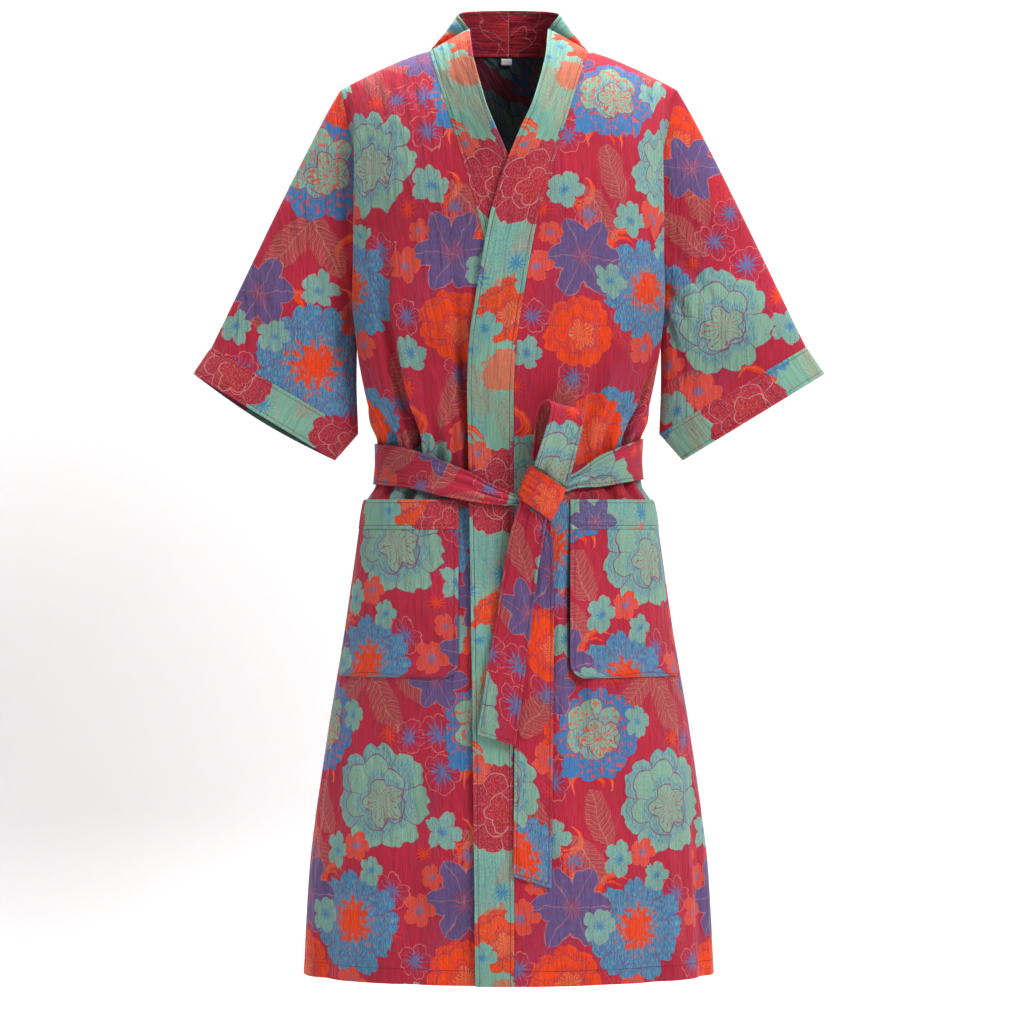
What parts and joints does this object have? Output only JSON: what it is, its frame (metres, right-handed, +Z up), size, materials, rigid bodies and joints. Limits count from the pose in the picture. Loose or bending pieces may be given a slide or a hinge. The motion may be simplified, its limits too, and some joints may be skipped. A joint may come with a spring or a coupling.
{
  "type": "kimono robe",
  "caption": "Knee-length kimono robe of printed cloth in its worn form: crossed fronts, a wide neck band, half sleeves with cuff bands, patch pockets and a tied belt.",
  "frame": {"origin": "middle of the shoulder line, level with the neck ends of the shoulder seams", "axes": "+Z up, -Y out of the fronts, +X towards the wearer's left"},
  "size_m": [0.778, 0.3045, 1.194],
  "materials": {
    "printed_cloth": "matt printed cotton gauze",
    "band_cloth": "matt printed cotton gauze, doubled",
    "belt_cloth": "matt printed cotton gauze, doubled",
    "label_cloth": "woven satin tape"
  },
  "bodies": {
    "root": {"back": "printed_cloth", "belt_knot": "belt_cloth", "belt_loop": "belt_cloth", "belt_tail_back": "belt_cloth", "belt_tail_front": "belt_cloth", "belt_waist": "belt_cloth", "collar_left": "band_cloth", "collar_neck_left": "band_cloth", "collar_neck_right": "band_cloth", "collar_right": "band_cloth", "cuff_left": "band_cloth", "cuff_right": "band_cloth", "front_left": "printed_cloth", "front_right": "printed_cloth", "neck_label": "label_cloth", "pocket_band_left": "band_cloth", "pocket_band_right": "band_cloth", "pocket_left": "printed_cloth", "pocket_right": "printed_cloth", "sleeve_left": "printed_cloth", "sleeve_right": "printed_cloth"}
  },
  "joints": []
}
